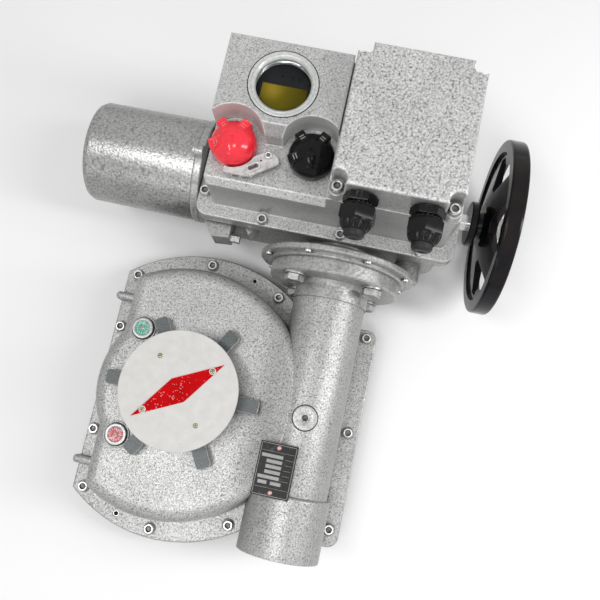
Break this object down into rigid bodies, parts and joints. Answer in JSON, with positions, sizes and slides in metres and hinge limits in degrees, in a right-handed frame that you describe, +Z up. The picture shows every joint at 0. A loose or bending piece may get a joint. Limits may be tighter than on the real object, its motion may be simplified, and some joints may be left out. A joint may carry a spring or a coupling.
{
  "type": "electric valve actuator",
  "caption": "Quarter-turn electric valve actuator: geared motor head with a control panel and handwheel on a worm gearbox with a position disc.",
  "frame": {"origin": "centre of the valve flange face, on the output axis", "axes": "+Z up along the output shaft, +Y along the worm shaft towards the actuator head, +X towards the handwheel"},
  "size_m": [0.4171, 0.4605, 0.2296],
  "materials": {
    "cast_paint": "satin hammer finish",
    "motor_paint": "satin metallic",
    "zinc_steel": "bright",
    "dark_steel": "oiled",
    "machined_steel": "machined",
    "bearing_steel": "ground",
    "bronze": "machined",
    "machined_aluminium": "satin",
    "white_plastic": "matt",
    "red_film": "satin",
    "green_label": "satin",
    "red_label": "satin",
    "black_plate": "satin",
    "black_rubber": "matt",
    "gasket_fibre": "matt",
    "copper_windings": "wound",
    "black_gloss": "gloss",
    "clear_glass": "polished",
    "display_plastic": "gloss",
    "board_laminate": "matt",
    "red_plastic": "gloss",
    "black_plastic": "gloss"
  },
  "bodies": {
    "case": {"base_plate": "cast_paint", "base_gasket": "gasket_fibre", "gearbox_housing": "cast_paint", "rim_screws": "zinc_steel", "dowel_pins": "dark_steel", "wheel_bushes": "bronze", "worm_bearings": "bearing_steel", "tail_cap": "zinc_steel", "grease_plug": "zinc_steel", "open_marker": "green_label", "closed_marker": "red_label", "marker_screws": "zinc_steel", "nameplate": "black_plate", "nameplate_rivets": "zinc_steel", "input_flange": "cast_paint", "flange_bolts": "zinc_steel", "flange_washers": "zinc_steel", "input_seal": "black_rubber", "gearcase": "cast_paint", "drain_plug": "zinc_steel", "head_screws": "zinc_steel", "sleeve_bushes": "bronze", "motor_housing": "motor_paint", "motor_ring": "cast_paint", "stator": "copper_windings", "motor_bearings": "bearing_steel", "handwheel_bush": "bronze", "control_housing": "cast_paint", "control_gasket": "gasket_fibre", "control_screws": "zinc_steel", "window_ring": "cast_paint", "window_glass": "clear_glass", "display_module": "display_plastic", "circuit_board": "board_laminate", "lock_plate": "machined_aluminium", "lock_screw": "zinc_steel", "terminal_box": "cast_paint", "terminal_gasket": "gasket_fibre", "terminal_screws": "zinc_steel", "terminal_block": "black_plastic", "gland_bodies": "black_plastic", "gland_nuts": "black_plastic", "gland_plugs": "black_rubber"},
    "output": {"worm_wheel": "bronze", "stem_bush": "dark_steel", "position_cap": "machined_aluminium", "position_disc": "white_plastic", "pointer": "red_film", "indicator_screws": "zinc_steel"},
    "drive": {"worm": "machined_steel", "drive_sleeve": "machined_steel", "crown_wheel": "bronze"},
    "handwheel": {"handwheel": "black_gloss", "handwheel_shaft": "machined_steel", "hand_pinion": "dark_steel", "hub_nut": "zinc_steel"},
    "rotor": {"rotor": "machined_steel", "motor_pinion": "dark_steel"},
    "selector": {"red_knob": "red_plastic"},
    "switch": {"black_knob": "black_plastic"}
  },
  "joints": [
    {"name": "worm_spin", "type": "hinge", "parent": "case", "child": "drive", "pos_m": [0.1145, 0, 0.08], "axis": [0, -1, 0], "range_deg": [0, 3600]},
    {"name": "output_turn", "type": "hinge", "parent": "case", "child": "output", "pos_m": [0, 0, 0.08], "axis": [0, 0, 1], "range_deg": [0, 90]},
    {"name": "handwheel_spin", "type": "hinge", "parent": "case", "child": "handwheel", "pos_m": [0.2498, 0.219, 0.08], "axis": [-1, 0, 0], "range_deg": [0, 10800]},
    {"name": "motor_spin", "type": "hinge", "parent": "case", "child": "rotor", "pos_m": [-0.09, 0.219, 0.08], "axis": [1, 0, 0], "continuous": true},
    {"name": "selector_turn", "type": "hinge", "parent": "case", "child": "selector", "pos_m": [0.0067, 0.2152, 0.17], "axis": [0, 0, 1], "range_deg": [-45, 45]},
    {"name": "switch_turn", "type": "hinge", "parent": "case", "child": "switch", "pos_m": [0.075, 0.2171, 0.17], "axis": [0, 0, 1], "range_deg": [-30, 30], "stiffness_Nm_per_rad": 0.3}
  ],
  "couplings": [
    {"joint": "output_turn", "follows": "worm_spin", "ratio": 0.025},
    {"joint": "handwheel_spin", "follows": "worm_spin", "ratio": 3}
  ]
}
